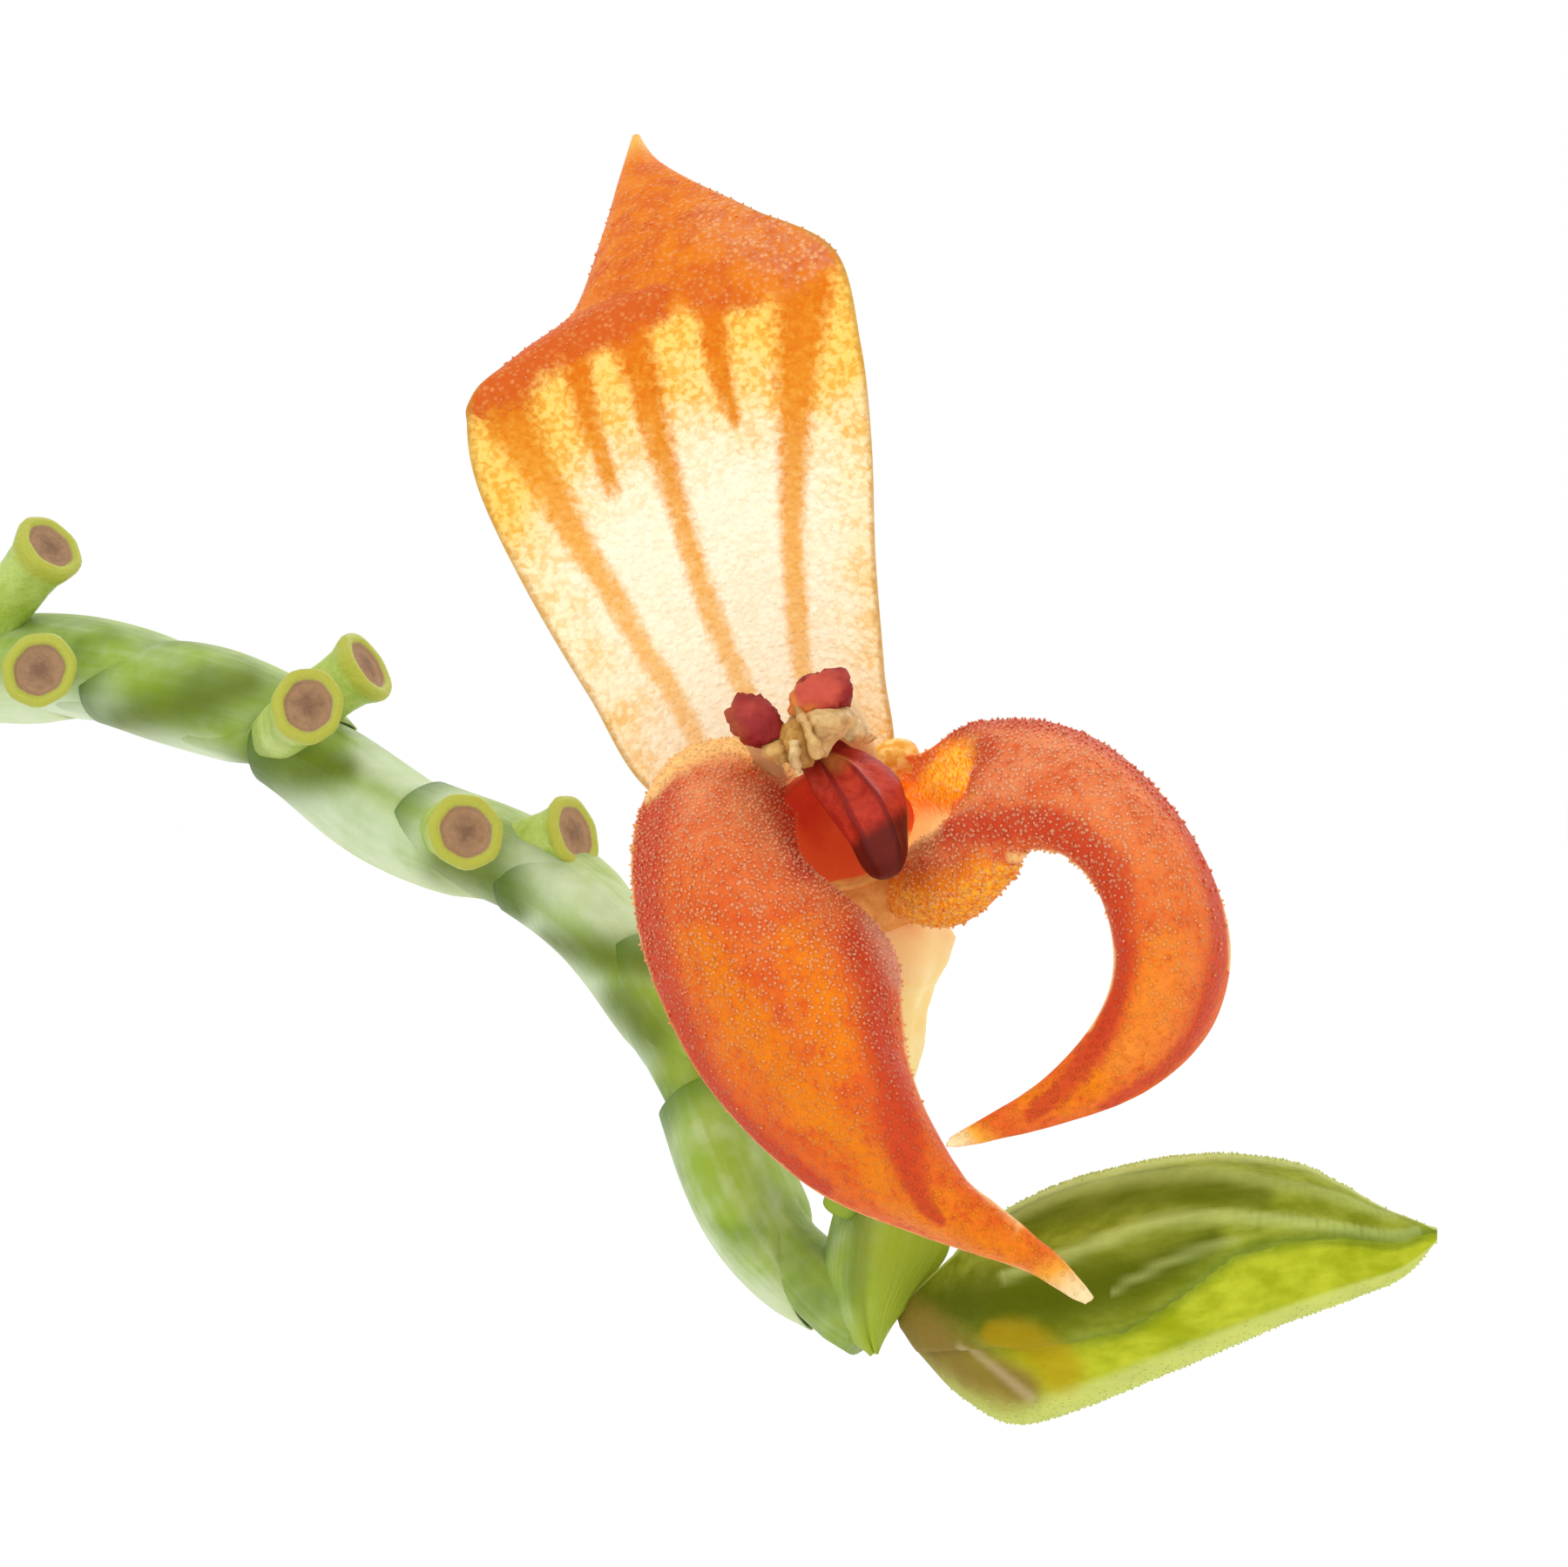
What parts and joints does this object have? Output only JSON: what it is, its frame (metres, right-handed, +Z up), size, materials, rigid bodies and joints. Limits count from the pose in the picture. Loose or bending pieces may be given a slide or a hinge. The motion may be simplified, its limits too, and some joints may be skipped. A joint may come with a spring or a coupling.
{
  "type": "potted pleurothallis endotrachys",
  "caption": "Small tufted orchid in a clay pot of bark, with leathery leaves and one long arching zigzag spike that ends in an orange-red bloom and a green bud.",
  "frame": {"origin": "centre of the pot's flat base", "axes": "+Z up; the spike arches towards +X and the bloom faces -Y"},
  "size_m": [0.1463, 0.0955, 0.2159],
  "materials": {
    "clay": "matte",
    "bark": "matte",
    "leaf": "satin",
    "spike": "satin",
    "bud": "satin",
    "stalk": "satin",
    "dorsal": "satin",
    "orange": "satin",
    "dark_red": "satin",
    "cream": "satin"
  },
  "bodies": {
    "root": {"pot": "clay", "bark_mix": "bark", "leaf_shoot_01": "leaf", "leaf_shoot_02": "leaf", "leaf_shoot_03": "leaf", "leaf_shoot_04": "leaf", "leaf_shoot_05": "leaf", "leaf_shoot_06": "leaf", "leaf_shoot_07": "leaf", "leaf_shoot_08": "leaf", "leaf_shoot_09": "leaf", "leaf_shoot_10": "leaf", "flower_spike": "spike", "flower_stalk": "stalk", "dorsal_sepal": "dorsal", "lateral_sepals": "orange", "petal_left": "dark_red", "petal_right": "dark_red", "column": "cream", "lip": "dark_red", "flower_bud": "bud"}
  },
  "joints": []
}
